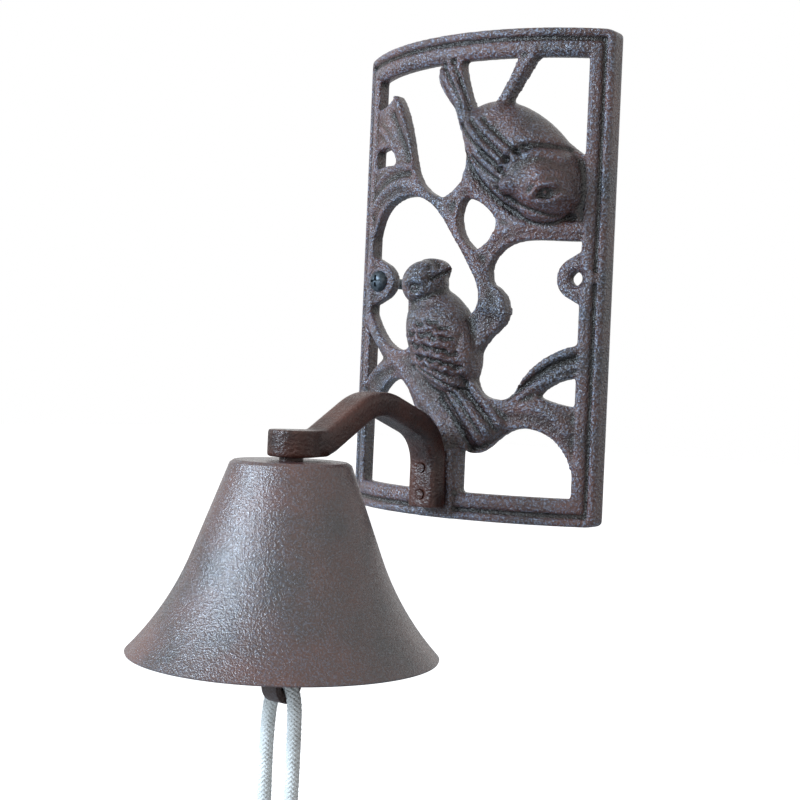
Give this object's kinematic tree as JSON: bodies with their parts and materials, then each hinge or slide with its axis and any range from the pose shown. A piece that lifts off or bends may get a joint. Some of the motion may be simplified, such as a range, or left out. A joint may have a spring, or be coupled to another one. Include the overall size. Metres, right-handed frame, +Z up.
{
  "type": "wall doorbell",
  "caption": "Cast iron doorbell with a bowed openwork bird plate, a swan-neck arm and a bell rung by a rope on its clapper.",
  "frame": {"origin": "wall plane, at the plate's mid-width and at the height of the two wall screws", "axes": "+X to the right as seen from the room, +Y into the wall, +Z up"},
  "size_m": [0.112, 0.1798, 0.356],
  "materials": {
    "plate_iron": "brown rust bloom over a blue-grey sheen, fine sand-cast grain",
    "arm_iron": "reddish brown rust, satin",
    "bell_iron": "even brown rust with a fine grain",
    "black_steel": "black oxide, satin",
    "zinc_steel": "dull zinc plate",
    "rope_cotton": "off-white diagonal braid"
  },
  "bodies": {
    "base": {"wall_plate": "plate_iron", "arm_bracket": "arm_iron", "rivet_lower": "arm_iron", "rivet_upper": "arm_iron", "wall_screw": "black_steel", "bell": "bell_iron", "crown_washer": "arm_iron", "lock_washer": "zinc_steel", "hex_nut": "zinc_steel", "eye_bolt": "zinc_steel"},
    "hanger": {"link": "zinc_steel"},
    "striker": {"clapper": "bell_iron", "pull_cord": "rope_cotton", "cord_knot": "rope_cotton"}
  },
  "joints": [
    {"name": "link_swing", "type": "hinge", "parent": "base", "child": "hanger", "pos_m": [0, -0.1085, -0.0869], "axis": [1, 0, 0], "range_deg": [-36, 36]},
    {"name": "clapper_swing", "type": "hinge", "parent": "hanger", "child": "striker", "pos_m": [0, -0.1085, -0.09505], "axis": [0, 1, 0], "range_deg": [-20, 20]}
  ]
}
